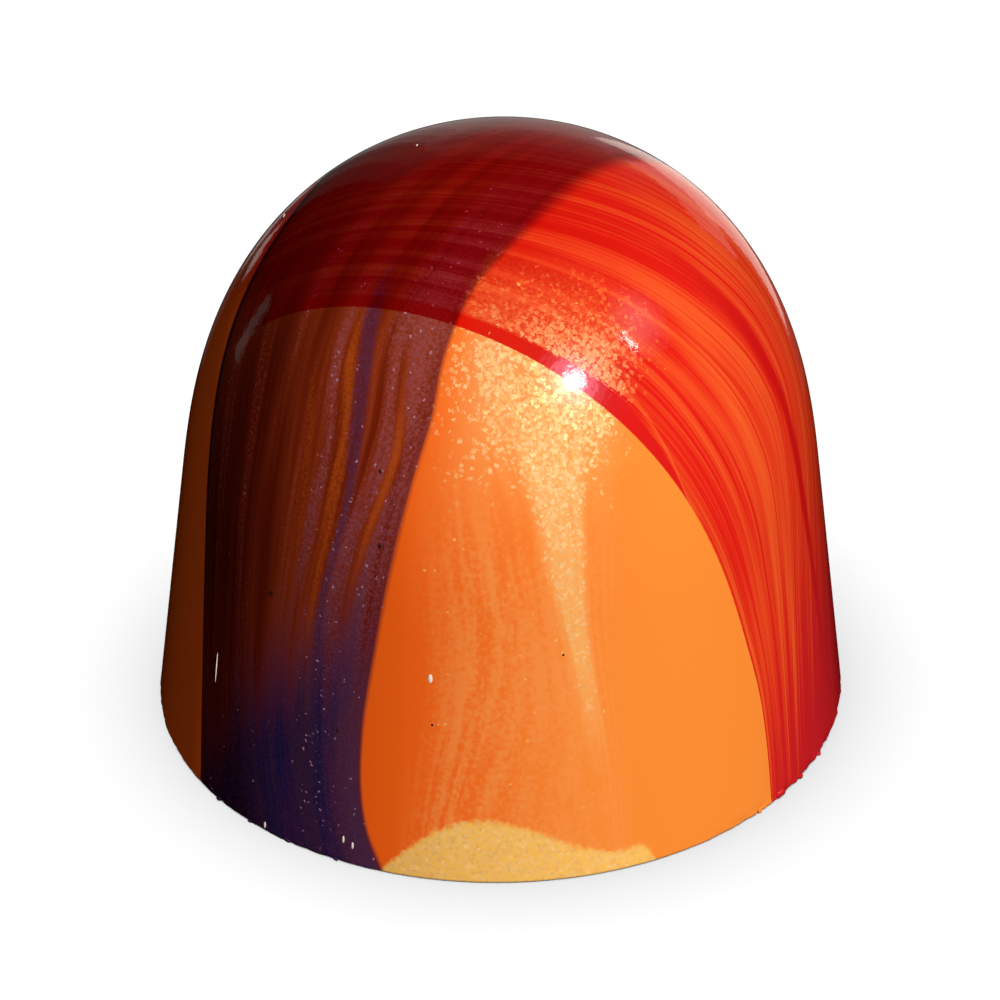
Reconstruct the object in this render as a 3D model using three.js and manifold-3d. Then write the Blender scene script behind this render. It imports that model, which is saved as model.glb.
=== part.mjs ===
// A moulded chocolate praline: a tall dome with a drafted wall, closed with a flat chocolate base.
// Millimetres, +Z up, origin at the centre of the base. The front of the praline is at -Y.
import * as THREE from "three";
import { mergeVertices } from "three/addons/utils/BufferGeometryUtils.js";
import Module from "manifold-3d";

const wasm = await Module();
wasm.setup();

// The moulded dome
const BASE_RADIUS = 14;
const HEIGHT = 23.7;
const WALL_HEIGHT = 10.1; // the wall is straight up to here, and the dome starts
const DRAFT = THREE.MathUtils.degToRad(8); // the wall leans inwards, so that it leaves its mould
const ROUND_ACROSS = 2.14; // superellipse exponents of the dome, 2 is an ellipse
const ROUND_UP = 2.75;
const TOP_SHIFT = 0.26; // the dome leans to +X, because the base was closed a little out of square
const BASE_EDGE = 0.08; // radius of the edge between the base and the wall

// How finely the round surface is cut into facets
const SIDES = 96;
const DOME_RINGS = 28;
const EDGE_STEPS = 3;

// Shards that scraping the mould left on the rim: degrees anticlockwise from +X, and length.
const RIM_FLAKES = [
  [321, 0.85],
  [315.5, 0.4],
  [327, 0.44],
  [334, 0.34],
  [243, 0.3],
  [234, 0.36],
  [226, 0.3],
  [218, 0.38],
  [171, 0.36],
  [139, 0.5],
  [104, 0.3],
  [71, 0.4],
  [46, 0.34],
  [13, 0.42],
];
const FLAKE_HEIGHT = 0.5; // a flake's height and thickness, as shares of its length
const FLAKE_THICKNESS = 0.45;
const FLAKE_RISE = 0.18; // its middle stands this far above the base, as a share of its length
const FLAKE_SINK = 0.12; // and this far inside the wall
const FLAKE_TURN = 37; // each flake is turned by this many degrees more than the one before it
const FLOOR_CUT = 40; // side of the block that trims the flakes level with the base

const CHOCOLATE_COLOUR = 0xd9541e;

function wallRadius(z) {
  return BASE_RADIUS - z * Math.tan(DRAFT);
}

// The half section, from the centre of the base round to the top of the dome.
function halfSection() {
  const points = [new THREE.Vector2(0, 0)];
  for (let i = 0; i <= EDGE_STEPS; i++) {
    const turn = (i / EDGE_STEPS) * (Math.PI / 2 - DRAFT);
    points.push(
      new THREE.Vector2(
        wallRadius(BASE_EDGE) - BASE_EDGE * (1 - Math.sin(turn)),
        BASE_EDGE * (1 - Math.cos(turn)),
      ),
    );
  }
  for (let i = 0; i < DOME_RINGS; i++) {
    const turn = ((i / DOME_RINGS) * Math.PI) / 2;
    const z =
      WALL_HEIGHT + (HEIGHT - WALL_HEIGHT) * Math.sin(turn) ** (2 / ROUND_UP);
    points.push(
      new THREE.Vector2(
        wallRadius(z) * Math.cos(turn) ** (2 / ROUND_ACROSS),
        z,
      ),
    );
  }
  points.push(new THREE.Vector2(0, HEIGHT));
  return points;
}

// The section turned round +Z, with the top shifted sideways.
function domeGeometry() {
  const geometry = new THREE.LatheGeometry(halfSection(), SIDES);
  geometry.rotateX(Math.PI / 2);
  const place = geometry.getAttribute("position");
  for (let i = 0; i < place.count; i++) {
    const shift = (TOP_SHIFT * place.getZ(i)) / HEIGHT;
    place.setX(i, place.getX(i) + shift);
  }
  return geometry;
}

function flakeGeometry(degrees, length, turn) {
  const geometry = new THREE.IcosahedronGeometry(length / 2, 0);
  geometry.rotateX(THREE.MathUtils.degToRad(turn));
  geometry.rotateZ(THREE.MathUtils.degToRad(turn / 2));
  geometry.scale(FLAKE_THICKNESS, 1, FLAKE_HEIGHT);
  geometry.translate(
    BASE_RADIUS - FLAKE_SINK * length,
    0,
    FLAKE_RISE * length,
  );
  geometry.rotateZ(THREE.MathUtils.degToRad(degrees));
  return geometry;
}

function floorBlock() {
  const geometry = new THREE.BoxGeometry(FLOOR_CUT, FLOOR_CUT, FLOOR_CUT);
  geometry.translate(0, 0, -FLOOR_CUT / 2);
  return geometry;
}

function toSolid(geometry) {
  const bare = new THREE.BufferGeometry();
  const flat = geometry.index ? geometry.toNonIndexed() : geometry;
  bare.setAttribute("position", flat.getAttribute("position"));
  const merged = mergeVertices(bare, 1e-4);
  return new wasm.Manifold(
    new wasm.Mesh({
      numProp: 3,
      vertProperties: merged.getAttribute("position").array,
      triVerts: new Uint32Array(merged.index.array),
    }),
  );
}

function toGeometry(solid) {
  const mesh = solid.getMesh();
  const geometry = new THREE.BufferGeometry();
  geometry.setAttribute(
    "position",
    new THREE.BufferAttribute(new Float32Array(mesh.vertProperties), 3),
  );
  geometry.setIndex(
    new THREE.BufferAttribute(new Uint32Array(mesh.triVerts), 1),
  );
  geometry.computeVertexNormals();
  return geometry;
}

function pralineGeometry() {
  let solid = toSolid(domeGeometry());
  RIM_FLAKES.forEach(([degrees, length], i) => {
    solid = solid.add(
      toSolid(flakeGeometry(degrees, length, i * FLAKE_TURN)),
    );
  });
  return toGeometry(solid.subtract(toSolid(floorBlock())));
}

const praline = new THREE.Mesh(
  pralineGeometry(),
  new THREE.MeshStandardMaterial({
    color: CHOCOLATE_COLOUR,
    roughness: 0.12,
    metalness: 0,
  }),
);
praline.name = "praline";

const part = new THREE.Group();
part.add(praline);

export default part;
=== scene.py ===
# %% [markdown]
# A moulded chocolate praline is a hollow mould turned inside out. The chocolatier brushes coloured
# cocoa butter into a polished mould, lets it set, fills the mould, closes it with chocolate and
# knocks the piece out. The colours are therefore a thin skin with no relief, as smooth as the mould.
# The lesson builds one such praline: first its turned shape, then the brush strokes as curves laid
# over the dome, then the paints, and at last the studio. The solid model comes in as a fixed frame,
# which says how high and how wide the piece is.

# %% Load the frame
import math

import bpy
import numpy as np
from mathutils import Matrix, Vector


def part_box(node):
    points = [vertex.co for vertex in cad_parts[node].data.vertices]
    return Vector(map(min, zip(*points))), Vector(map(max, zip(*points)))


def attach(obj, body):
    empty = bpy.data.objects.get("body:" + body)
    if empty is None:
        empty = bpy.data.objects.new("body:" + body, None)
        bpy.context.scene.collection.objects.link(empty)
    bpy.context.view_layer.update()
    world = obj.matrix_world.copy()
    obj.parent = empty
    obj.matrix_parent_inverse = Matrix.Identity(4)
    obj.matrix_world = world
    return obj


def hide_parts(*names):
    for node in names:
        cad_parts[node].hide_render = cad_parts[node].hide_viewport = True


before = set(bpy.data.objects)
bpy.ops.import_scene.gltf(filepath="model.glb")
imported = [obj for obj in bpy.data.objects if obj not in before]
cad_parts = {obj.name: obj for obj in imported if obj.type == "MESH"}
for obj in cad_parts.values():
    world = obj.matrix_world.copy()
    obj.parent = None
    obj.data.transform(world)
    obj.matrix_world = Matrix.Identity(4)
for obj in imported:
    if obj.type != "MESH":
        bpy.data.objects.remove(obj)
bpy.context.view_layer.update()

MM = 0.001
low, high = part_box("praline")
HEIGHT = high.z - low.z
print("praline height in mm:", round(HEIGHT / MM, 2))

# %% [markdown]
# The shape is turned: one half section, spun round the upright axis. The section is a wall that
# leans inwards by 8 degrees, so that the piece leaves its mould, and a dome above it. A half circle
# would be too pointed, because the real dome has fuller shoulders. A superellipse gives them with
# two exponents, and it runs into the leaning wall with no kink.

# %% The half section
BASE_RADIUS = 14.0 * MM
WALL_HEIGHT = 10.1 * MM
DRAFT = math.radians(8)
ROUND_ACROSS = 2.14
ROUND_UP = 2.75
TOP_SHIFT = 0.26 * MM
BASE_EDGE = 0.08 * MM


def wall_radius(z):
    return BASE_RADIUS - z * math.tan(DRAFT)


def dome_point(turn):
    z = WALL_HEIGHT + (HEIGHT - WALL_HEIGHT) * math.sin(turn) ** (2 / ROUND_UP)
    return wall_radius(z) * math.cos(turn) ** (2 / ROUND_ACROSS), z


def edge_point(turn):
    r = wall_radius(BASE_EDGE) - BASE_EDGE * (1 - math.sin(turn))
    return r, BASE_EDGE * (1 - math.cos(turn))


def even_steps(points, step_at):
    """The same line again, cut so that each step has the length that step_at gives for that place."""
    points = np.array(points)
    arc = np.concatenate([[0], np.cumsum(np.hypot(*np.diff(points, axis=0).T))])
    marks = [0.0]
    while marks[-1] < arc[-1]:
        marks.append(marks[-1] + step_at(marks[-1]))
    marks = np.array(marks) * arc[-1] / marks[-1]
    return np.stack([np.interp(marks, arc, points[:, 0]), np.interp(marks, arc, points[:, 1])], 1)


FINE_STEP = 0.06 * MM
COARSE_STEP = 0.22 * MM
FINE_RIM = 1.2 * MM
EDGE_POINTS = 6
DOME_POINTS = 4000
NEAR_TOP = math.pi / 2 - 1e-4
UNDERSIDE_RINGS = 17

edge = [edge_point(t) for t in np.linspace(0, math.pi / 2 - DRAFT, EDGE_POINTS)]
dome = [dome_point(t) for t in np.linspace(0, NEAR_TOP, DOME_POINTS)] + [(0.0, HEIGHT)]
side = even_steps(edge + dome, lambda s: FINE_STEP if s < FINE_RIM else COARSE_STEP)
underside = [(r, 0.0) for r in np.linspace(0, edge[0][0], UNDERSIDE_RINGS + 1)[:-1]]
section = underside + [tuple(p) for p in side]
print("points in the half section:", len(section))

# %% [markdown]
# The section could be typed in as a list of points, but by hand it is drawn: one point is placed at
# the middle of the base, and extruded from place to place. Spin then turns the line into a shell.
# The first and last column of a full spin lie on each other, as do all the points on the axis, so
# the doubles are merged before the normals are made to point outwards.

# %% Draw and spin the section
COLUMNS = 512
SAME_POINT = 0.002 * MM


def deselect_all():
    if bpy.context.mode != "OBJECT":
        bpy.ops.object.mode_set(mode="OBJECT")
    bpy.ops.object.select_all(action="DESELECT")


def select_only(*pieces):
    deselect_all()
    for piece in pieces:
        piece.select_set(True)
    bpy.context.view_layer.objects.active = pieces[0]


def named(name):
    piece = bpy.context.active_object
    piece.name = name
    piece.data.name = name
    return piece


def start_point():
    """A mesh of one point, in edit mode, from a small plane whose corners are merged."""
    deselect_all()
    bpy.ops.mesh.primitive_plane_add(size=MM, location=(0, 0, 0))
    bpy.ops.object.mode_set(mode="EDIT")
    bpy.ops.mesh.select_all(action="SELECT")
    bpy.ops.mesh.merge(type="CENTER")


def draw_line(points):
    for (r0, z0), (r1, z1) in zip(points, points[1:]):
        bpy.ops.mesh.extrude_region_move(TRANSFORM_OT_translate={"value": (r1 - r0, 0, z1 - z0)})


start_point()
draw_line(section)
bpy.ops.mesh.select_all(action="SELECT")
bpy.ops.mesh.spin(steps=COLUMNS, angle=2 * math.pi, center=(0, 0, 0), axis=(0, 0, 1))
bpy.ops.mesh.select_all(action="SELECT")
bpy.ops.mesh.remove_doubles(threshold=SAME_POINT)
bpy.ops.mesh.normals_make_consistent(inside=False)
bpy.ops.object.mode_set(mode="OBJECT")
praline = named("painted_praline")
print("praline faces:", len(praline.data.polygons))

# %% [markdown]
# The real dome leans a little to the right, because its base was closed slightly out of square. A
# lattice of one cell round the piece does this: its four top points are pushed sideways, and what is
# inside follows in proportion to its height.

# %% Lean the dome
def lean(piece, shift):
    deselect_all()
    bpy.ops.object.add(type="LATTICE", location=(0, 0, HEIGHT / 2))
    cage = bpy.context.active_object
    cage.scale = (4 * BASE_RADIUS, 4 * BASE_RADIUS, HEIGHT)
    for axis in "uvw":
        setattr(cage.data, "interpolation_type_" + axis, "KEY_LINEAR")
    for point in cage.data.points:
        if point.co.z > 0:
            point.co_deform.x += shift / cage.scale.x
    bpy.context.view_layer.update()
    bend = piece.modifiers.new("lean", "LATTICE")
    bend.object = cage
    apply_modifiers(piece)
    bpy.data.objects.remove(cage)


def apply_modifiers(piece):
    select_only(piece)
    for modifier in list(piece.modifiers):
        bpy.ops.object.modifier_apply(modifier=modifier.name)


lean(praline, TOP_SHIFT)
top = max(praline.data.vertices, key=lambda v: v.co.z)
print("top of the dome is at x in mm:", round(top.co.x / MM, 3))

# %% [markdown]
# Two places are not mould-smooth. The rim is where the chocolatier scraped the mould level, so it is
# slightly ragged. The underside is bare chocolate, drawn flat with a scraper, which left shallow
# hollows. Both are real relief, a tenth or two of a millimetre, so they are displaced in the mesh.
# A vertex group keeps each displacement to its place. The underside only moves inwards, and no point
# may sink below the table, so that the piece still stands flat.

# %% Rough rim and scraped underside
RAGGED_HEIGHT = 0.4 * MM
RAGGED_DEPTH = 0.22 * MM
RAGGED_GRAIN = 0.35 * MM
RAGGED_MIDDLE = 0.6
SCRAPE_DEPTH = 0.10 * MM
SCRAPE_GRAIN = 2.4 * MM
FLAT_MARGIN = 0.6 * MM
AT_BASE = 0.01 * MM
# How ragged the rim is, by the direction in degrees from the front: calm in front, torn at the right.
RAGGED_SHARE = [(-180, 0.5), (-90, 0.5), (-60, 0.4), (-25, 0.45), (-15, 0.12), (30, 0.1),
                (45, 1), (70, 0.9), (100, 0.5), (180, 0.5)]


def positions(piece):
    flat = np.empty(len(piece.data.vertices) * 3)
    piece.data.vertices.foreach_get("co", flat)
    return flat.reshape(-1, 3)


def weigh(piece, name, weights):
    group = piece.vertex_groups.new(name=name)
    for index in np.flatnonzero(weights > 0):
        group.add([int(index)], float(weights[index]), "REPLACE")


def displace(piece, name, grain, strength, middle, direction="NORMAL"):
    """Pushes the points of the vertex group of that name by cloudy noise."""
    texture = bpy.data.textures.new(name, "CLOUDS")
    texture.noise_scale = grain
    push = piece.modifiers.new(name, "DISPLACE")
    push.texture = texture
    push.vertex_group = name
    push.strength = strength
    push.mid_level = middle
    push.direction = direction


place = positions(praline)
z = place[:, 2]
direction = np.degrees(np.arctan2(place[:, 0], -place[:, 1]))
ragged = np.interp(direction, *zip(*RAGGED_SHARE)) * (1 - z / RAGGED_HEIGHT)
weigh(praline, "ragged_rim", np.where((z > AT_BASE) & (z < RAGGED_HEIGHT), ragged, 0))
inner = np.hypot(place[:, 0], place[:, 1]) < BASE_RADIUS - FLAT_MARGIN
weigh(praline, "scraped_base", np.where((z < AT_BASE) & inner, 1.0, 0))
displace(praline, "ragged_rim", RAGGED_GRAIN, RAGGED_DEPTH, RAGGED_MIDDLE)
displace(praline, "scraped_base", SCRAPE_GRAIN, SCRAPE_DEPTH, 0.0, "Z")
apply_modifiers(praline)
for vertex in praline.data.vertices:
    vertex.co.z = max(vertex.co.z, 0)
print("lowest point in mm:", round(positions(praline)[:, 2].min() / MM, 4))

# %% [markdown]
# Scraping also leaves a few broken shards of the painted shell standing on the rim. The largest one
# is at the front right, where it can be felt with a finger. Each shard is a small icosahedron,
# flattened and turned its own way. The part of it below the base is cut off, and the shards are then
# joined to the shell, so that the paint runs over them.

# %% Shards on the rim
# Degrees anticlockwise from +X, and length in mm.
RIM_SHARDS = [(321, 0.85), (315.5, 0.4), (327, 0.44), (334, 0.34), (243, 0.3), (234, 0.36), (226, 0.3),
              (218, 0.38), (171, 0.36), (139, 0.5), (104, 0.3), (71, 0.4), (46, 0.34), (13, 0.42)]
# A shard's other measures, as shares of its length, and how far each is turned past the one before.
SHARD_HEIGHT = 0.5
SHARD_THICKNESS = 0.45
SHARD_RISE = 0.18
SHARD_SINK = 0.12
SHARD_TURN = 37
SMOOTH_BELOW = math.radians(50)
CUT_CLOSENESS = 0.001 * MM


def shard(degrees, length, turn):
    out = BASE_RADIUS - SHARD_SINK * length
    bpy.ops.mesh.primitive_ico_sphere_add(subdivisions=1, radius=length / 2)
    piece = bpy.context.active_object
    tumble = Matrix.Rotation(math.radians(turn), 4, "X")
    tumble = Matrix.Rotation(math.radians(turn / 2), 4, "Z") @ tumble
    squash = Matrix.Diagonal((SHARD_THICKNESS, 1, SHARD_HEIGHT, 1))
    place = Matrix.Translation((out, 0, SHARD_RISE * length))
    piece.matrix_world = Matrix.Rotation(math.radians(degrees), 4, "Z") @ place @ squash @ tumble
    return piece


def join(pieces):
    """Writes each piece's place into its mesh, and makes one object of them all."""
    select_only(*pieces)
    bpy.ops.object.transform_apply(location=True, rotation=True, scale=True)
    bpy.ops.object.join()
    return bpy.context.active_object


def cut_at_floor(piece):
    select_only(piece)
    bpy.ops.object.mode_set(mode="EDIT")
    bpy.ops.mesh.select_all(action="SELECT")
    bpy.ops.mesh.bisect(plane_co=(0, 0, 0), plane_no=(0, 0, 1), use_fill=True, clear_inner=True,
                        threshold=CUT_CLOSENESS)
    bpy.ops.mesh.select_all(action="SELECT")
    bpy.ops.mesh.normals_make_consistent(inside=False)
    bpy.ops.object.mode_set(mode="OBJECT")


deselect_all()
shards = join([shard(d, length * MM, i * SHARD_TURN) for i, (d, length) in enumerate(RIM_SHARDS)])
cut_at_floor(shards)
print("lowest point of the shards in mm:", round(positions(shards)[:, 2].min() / MM, 4))
praline = join([praline, shards])
bpy.ops.object.shade_smooth_by_angle(angle=SMOOTH_BELOW)
print("faces with the shards:", len(praline.data.polygons))

# %% [markdown]
# Where do the strokes go? A brush that is swept over a dome leaves a band which is nearly straight
# once the dome is flattened. So every point gets a place on a flat paint map: its distance from the
# top, measured along the surface, in its own direction. The map is in millimetres, with the top of
# the dome at (0, 0), the front at -Y, and the rim at a distance of about 31.

# %% The flat paint map
arc = np.concatenate([[0], np.cumsum(np.hypot(*np.diff(side, axis=0).T))]) / MM
ARC = arc[-1]


def flat_map(place):
    """Distance up the side in mm, angle from the front, and the place on the flat map."""
    up = np.interp(place[:, 2], side[:, 1], arc)
    angle = np.arctan2(place[:, 0] - TOP_SHIFT * place[:, 2] / HEIGHT, -place[:, 1])
    out = ARC - up
    return up, angle, out * np.sin(angle), -out * np.cos(angle)


print("from the rim to the top, along the surface, in mm:", round(ARC, 2))

# %% [markdown]
# A stroke is described by rails: curves on the flat map that its bristles follow. The first rail is
# one edge of the stroke and the last one is the other, and what lies between gets a share by which
# rails it is between. Streaks drawn along these shares then bend, spread and close up just as the
# bristles did. Each rail needs only a few points, joined by a smooth curve.

# %% Smooth curves and rails
def smooth_curve(x, points):
    """A cubic curve through the points, which goes on straight past its ends."""
    px, py = np.array(sorted(points), float).T
    slope = np.gradient(py, px)
    x = np.asarray(x, float)
    i = np.clip(np.searchsorted(px, x) - 1, 0, len(px) - 2)
    width = px[i + 1] - px[i]
    t = np.clip((x - px[i]) / width, 0, 1)
    y = (
        py[i] * (1 + 2 * t) * (1 - t) ** 2
        + py[i + 1] * t * t * (3 - 2 * t)
        + slope[i] * width * t * (1 - t) ** 2
        - slope[i + 1] * width * t * t * (1 - t)
    )
    before = np.minimum(x - px[0], 0) * slope[0]
    after = np.maximum(x - px[-1], 0) * slope[-1]
    return y + before + after


def share_across(along, across, rails):
    """Which share of the stroke a point has, from the rails' shares and its place between them."""
    shares = sorted(rails)
    lines = np.array([smooth_curve(along, rails[s]) for s in shares])
    share = np.full(len(along), np.nan)
    for k in range(len(shares) - 1):
        step = (across - lines[k]) / (lines[k + 1] - lines[k])
        first = k == 0
        last = k == len(shares) - 2
        here = (first | (step >= 0)) & (last | (step < 1)) & np.isnan(share)
        share[here] = (shares[k] + step * (shares[k + 1] - shares[k]))[here]
    return share


def keep(piece, name, columns):
    """Stores up to three values for each point, which a material reads by name."""
    values = np.zeros((len(columns[0]), 3), np.float32)
    values[:, :len(columns)] = np.stack(columns, 1)
    store = piece.data.attributes.new(name, "FLOAT_VECTOR", "POINT")
    store.data.foreach_set("vector", values.ravel())


# %% [markdown]
# The red stroke crosses the dome from the left to the lower right. Its front edge is almost straight
# on the flat map. Its streaks run level over the top and then fall towards the rim. Along the front
# edge the brush left a bead of thick paint, about half a millimetre wide, which swells on the right
# and then runs out to a point.

# %% Rails of the red stroke
RED_RAILS = {
    0.0: [(-31, 4), (-20, -0.8), (-10, -5.1), (0, -9.6), (10, -13.8), (16, -16.2), (20, -18),
          (22.7, -20.2), (26, -24)],
    0.25: [(-31, 6), (-20, 1.2), (-10, -3.1), (0, -7.4), (8, -10.2), (16, -13.6), (20, -15.8),
           (24, -18.8), (31, -25)],
    0.5: [(-31, 9), (-20, 4), (-10, -1.2), (0, -4.6), (8, -5.8), (12, -6.1), (14, -6.7), (16, -8.1),
          (20, -11.4), (31, -22)],
    0.75: [(-31, 12), (-20, 7.5), (-10, 2), (0, -1.6), (8, -2.3), (12, -2.7), (14, -3.5), (16, -4.9),
           (20, -8.1), (31, -18)],
    1.0: [(-31, 16), (-20, 11), (-10, 5.5), (0, 1.8), (8, 0.3), (12, -0.6), (16, -2.2), (20, -5.2),
          (31, -14.5)],
    1.4: [(-31, 22), (-20, 17), (-10, 11.5), (0, 7.6), (8, 5.6), (14, 3.6), (18, 1), (26, -5), (31, -8.5)],
    2.0: [(-31, 26), (-20, 22), (-10, 18), (0, 15), (8, 14), (20, 12.6), (31, 12)],
}
# The bead's width in mm along the stroke, and how steeply the front edge falls on the map.
RED_BEAD = [(-20, 0.5), (-8, 0.5), (0, 0.6), (3, 0.72), (5.5, 0.84), (7.4, 0.54), (9.4, 0.06),
            (10.5, -0.15)]
THINNEST_BEAD = 0.01
RED_SLOPE = 0.44
# The deep streak and the thin orange one below it, each as a share that changes along the stroke.
DEEP_STREAK = [(3, 0.63), (5, 0.61), (9, 0.57), (14, 0.56), (17, 0.64), (21, 0.83), (26, 1.1)]
CLEAR_STREAK = [(5, 0.46), (8, 0.42), (10.5, 0.385), (13, 0.376), (16, 0.405), (20, 0.446), (26, 0.5)]


def streak(along, share, middle, width, start, end, fade=2.5):
    """1 in the middle of a single streak, falling to 0 at its sides and towards its ends.

    The middle and the width are shares. The start, the end and the fade are mm along the stroke.
    """
    across = np.clip(1 - ((share - middle) / (width / 2)) ** 2, 0, 1)
    ends = np.clip((along - start) / fade, 0, 1) * np.clip((end - along) / fade, 0, 1)
    return across * ends


def red_columns(x, y):
    share = share_across(x, y, RED_RAILS)
    from_edge = (y - smooth_curve(x, RED_RAILS[0.0])) * math.cos(math.atan(RED_SLOPE))
    bead = from_edge / np.maximum(smooth_curve(x, RED_BEAD), THINNEST_BEAD)
    return x, share, np.clip(bead, -5, 5)


def red_paint(along, share):
    """Where the red is deep, where it is clear, and where it is full without streaks."""
    deep = streak(along, share, smooth_curve(along, DEEP_STREAK), 0.13, 2, 30, 5)
    clear = streak(along, share, smooth_curve(along, CLEAR_STREAK), 0.07, 4, 26, 4)
    at_violet = streak(along, share, 0.5, 2.2, -3, 8.5, 4)
    at_bead = streak(along, share, 0.17, 0.36, 3, 17, 3)
    return deep, clear, np.maximum(at_violet, 0.6 * at_bead)


# %% [markdown]
# The violet stroke comes over the top from the back and falls to the lower left, spreading as it
# goes. It was brushed after the red one, so in the mould it lies behind it, and the red shines over
# it as a dark maroon. It is thin and brown in the middle, truly violet along its right edge, and
# pooled to a deep navy at the rim.

# %% Rails of the violet stroke
VIOLET_RAILS = {
    0.0: [(-20, -21), (-14, -15.5), (-6, -9.2), (-1, -5.1), (5, -0.9), (8, 1.4), (10, 2.35), (12, 3),
          (14, 4.1), (20, 7.8), (23, 9.8), (25, 10.65), (27, 10.75), (29, 9.9)],
    0.25: [(-20, -17.5), (-14, -12), (-6, -5.8), (-1, -2.1), (5, 2.6), (8, 5), (12, 6.6), (14, 8.1),
           (18, 12.4), (22, 14.9), (26, 15.5), (31, 15.5)],
    0.5: [(-20, -12.5), (-14, -7.5), (-6, -1.5), (-1, 2), (5, 8.4), (9, 11), (13, 14.8), (17, 18.6),
          (20, 20), (31, 20)],
    0.75: [(-20, -8), (-14, -3), (-6, 2.8), (-1, 5.6), (4, 10.8), (8, 13.8), (12, 18.3), (16, 22.4),
           (20, 23.8), (31, 24)],
    1.0: [(-20, -3.5), (-14, 1.5), (-6, 6.4), (-1, 8.6), (3, 12.6), (7, 16.2), (11, 20.7), (15, 24.7),
          (20, 29), (31, 36)],
}
# Where the violet band by the right edge ends, as a share, and the middles of its streaks.
BAND_END = [(-4, 0.24), (4, 0.22), (10, 0.18), (13, 0.16), (16, 0.15), (19, 0.15), (21, 0.25), (24, 0.3)]
INDIGO_STREAK = [(4, 0.3), (7, 0.278), (8.5, 0.257), (11.8, 0.251), (14, 0.222), (17, 0.212), (20, 0.2)]
SECOND_STREAK = [(6, 0.33), (9, 0.318), (11.8, 0.302), (13.3, 0.312), (16, 0.32)]
# The middles of the gaps, where the orange shows through.
RIGHT_GAP = [(7, 0.128), (9, 0.125), (11.2, 0.113), (13.5, 0.087), (15, 0.103), (17.5, 0.112),
             (20, 0.118)]
MIDDLE_GAP = [(6, 0.3), (8.7, 0.293), (10.8, 0.284), (13.7, 0.268), (16.8, 0.248), (20, 0.24)]
LEFT_GAP = [(6, 0.395), (9, 0.376), (11, 0.357), (14, 0.339), (18, 0.33)]
# Where the pool starts, in mm from the top, by share.
POOL_START = [(0, 18), (0.1, 18.4), (0.25, 18.8), (0.33, 18), (0.42, 17.4), (0.55, 16.8), (0.7, 16.4),
              (0.85, 16), (1, 15.6)]


def violet_columns(x, y):
    return -y, share_across(-y, -x, VIOLET_RAILS)


def violet_paint(along, share):
    """How much pearl, how much indigo, and how much of the pool there is at each point."""
    band = np.clip((smooth_curve(along, BAND_END) - share) / 0.05 + 0.5, 0, 1)
    gap = streak(along, share, smooth_curve(along, RIGHT_GAP), 0.05, 8, 20, 5)
    gap = np.maximum(gap, 0.7 * streak(along, share, smooth_curve(along, MIDDLE_GAP), 0.045, 6, 20, 3))
    gap = np.maximum(gap, 0.3 * streak(along, share, smooth_curve(along, LEFT_GAP), 0.03, 6, 18, 3))
    body = streak(along, share, 0.19, 0.2, 12.5, 27)
    second = streak(along, share, smooth_curve(along, SECOND_STREAK), 0.05, 5, 18, 3)
    indigo = streak(along, share, smooth_curve(along, INDIGO_STREAK), 0.06, 4.5, 26, 3)
    pool = np.clip((along - smooth_curve(share, POOL_START)) / 6 + 0.5, 0, 1)
    return 0.85 * np.maximum(np.maximum(band, body), second) - 2 * gap, indigo, pool


# %% [markdown]
# Gold lustre powder was dusted in with a dry brush: thinly over the whole front, and thickly along
# one narrow streak that starts near the top and fades on its way down. A second dab of it sits at
# the rim like a low hill. The powder's rails say where the thin dusting ends and where the dense
# streak runs. The dab is a height over the rim, which changes with the direction.

# %% Rails of the gold powder
GOLD_RAILS = {
    0.0: [(4, 0.5), (8, -1.6), (12, -3.2), (16, -4.5), (20, -5.2), (24, -6.3), (28, -8)],
    0.25: [(4, 0.8), (8, -0.8), (12, -1), (16, -0.4), (20, 0.4), (22, 0.3), (24, -0.5), (28, -3)],
    0.4: [(4, 0.9), (8, 0), (12, 0.1), (14, 0.8), (16, 1.9), (18, 2.7), (20, 3.6), (22, 4.8), (24, 5.7),
          (28, 7.6)],
    0.6: [(4, 4), (8, 4.2), (12, 3.9), (14, 3.7), (16, 4), (18, 4.4), (20, 5), (22, 6), (24, 7.2),
          (28, 9)],
    1.0: [(4, 9), (8, 7.9), (12, 7.2), (15, 7.2), (20, 8.3), (24, 9.6), (28, 11)],
}
# The dab's height in mm, by the direction in degrees from the front.
GOLD_DAB = [(-180, 0.6), (-150, -1), (-60, -1), (-21, -0.4), (-16, 1), (-10, 2.2), (-3, 2.7), (4, 2.3),
            (12, 1.35), (19, 0.85), (23, 0.75), (25.5, -0.4), (60, -1), (110, -1), (128, 0.7), (140, 2),
            (152, 1.6), (165, 0.5), (180, 0.6)]


def gold_columns(x, y, up, angle):
    share = share_across(-y, x, GOLD_RAILS)
    dab = smooth_curve(np.degrees(angle), GOLD_DAB) - up
    return -y, share, dab


def lay_strokes(piece):
    up, angle, x, y = flat_map(positions(piece))
    keep(piece, "flat_map", (x, y, up))
    red = red_columns(x, y)
    keep(piece, "red_stroke", red)
    keep(piece, "red_paint", red_paint(red[0], red[1]))
    violet = violet_columns(x, y)
    keep(piece, "violet_stroke", violet)
    keep(piece, "violet_paint", violet_paint(*violet))
    keep(piece, "gold_powder", gold_columns(x, y, up, angle))


lay_strokes(praline)
print("stroke data:", [a.name for a in praline.data.attributes if a.data_type == "FLOAT_VECTOR"])

# %% [markdown]
# A few pale crumbs and one thin fibre stick to the paint, and so do some dark specks of cocoa. Each
# one is a tiny squashed icosphere that lies on the surface. Its place is given on the flat map, so
# the map is now read backwards: from a place on it to the point and the directions in space.

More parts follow.
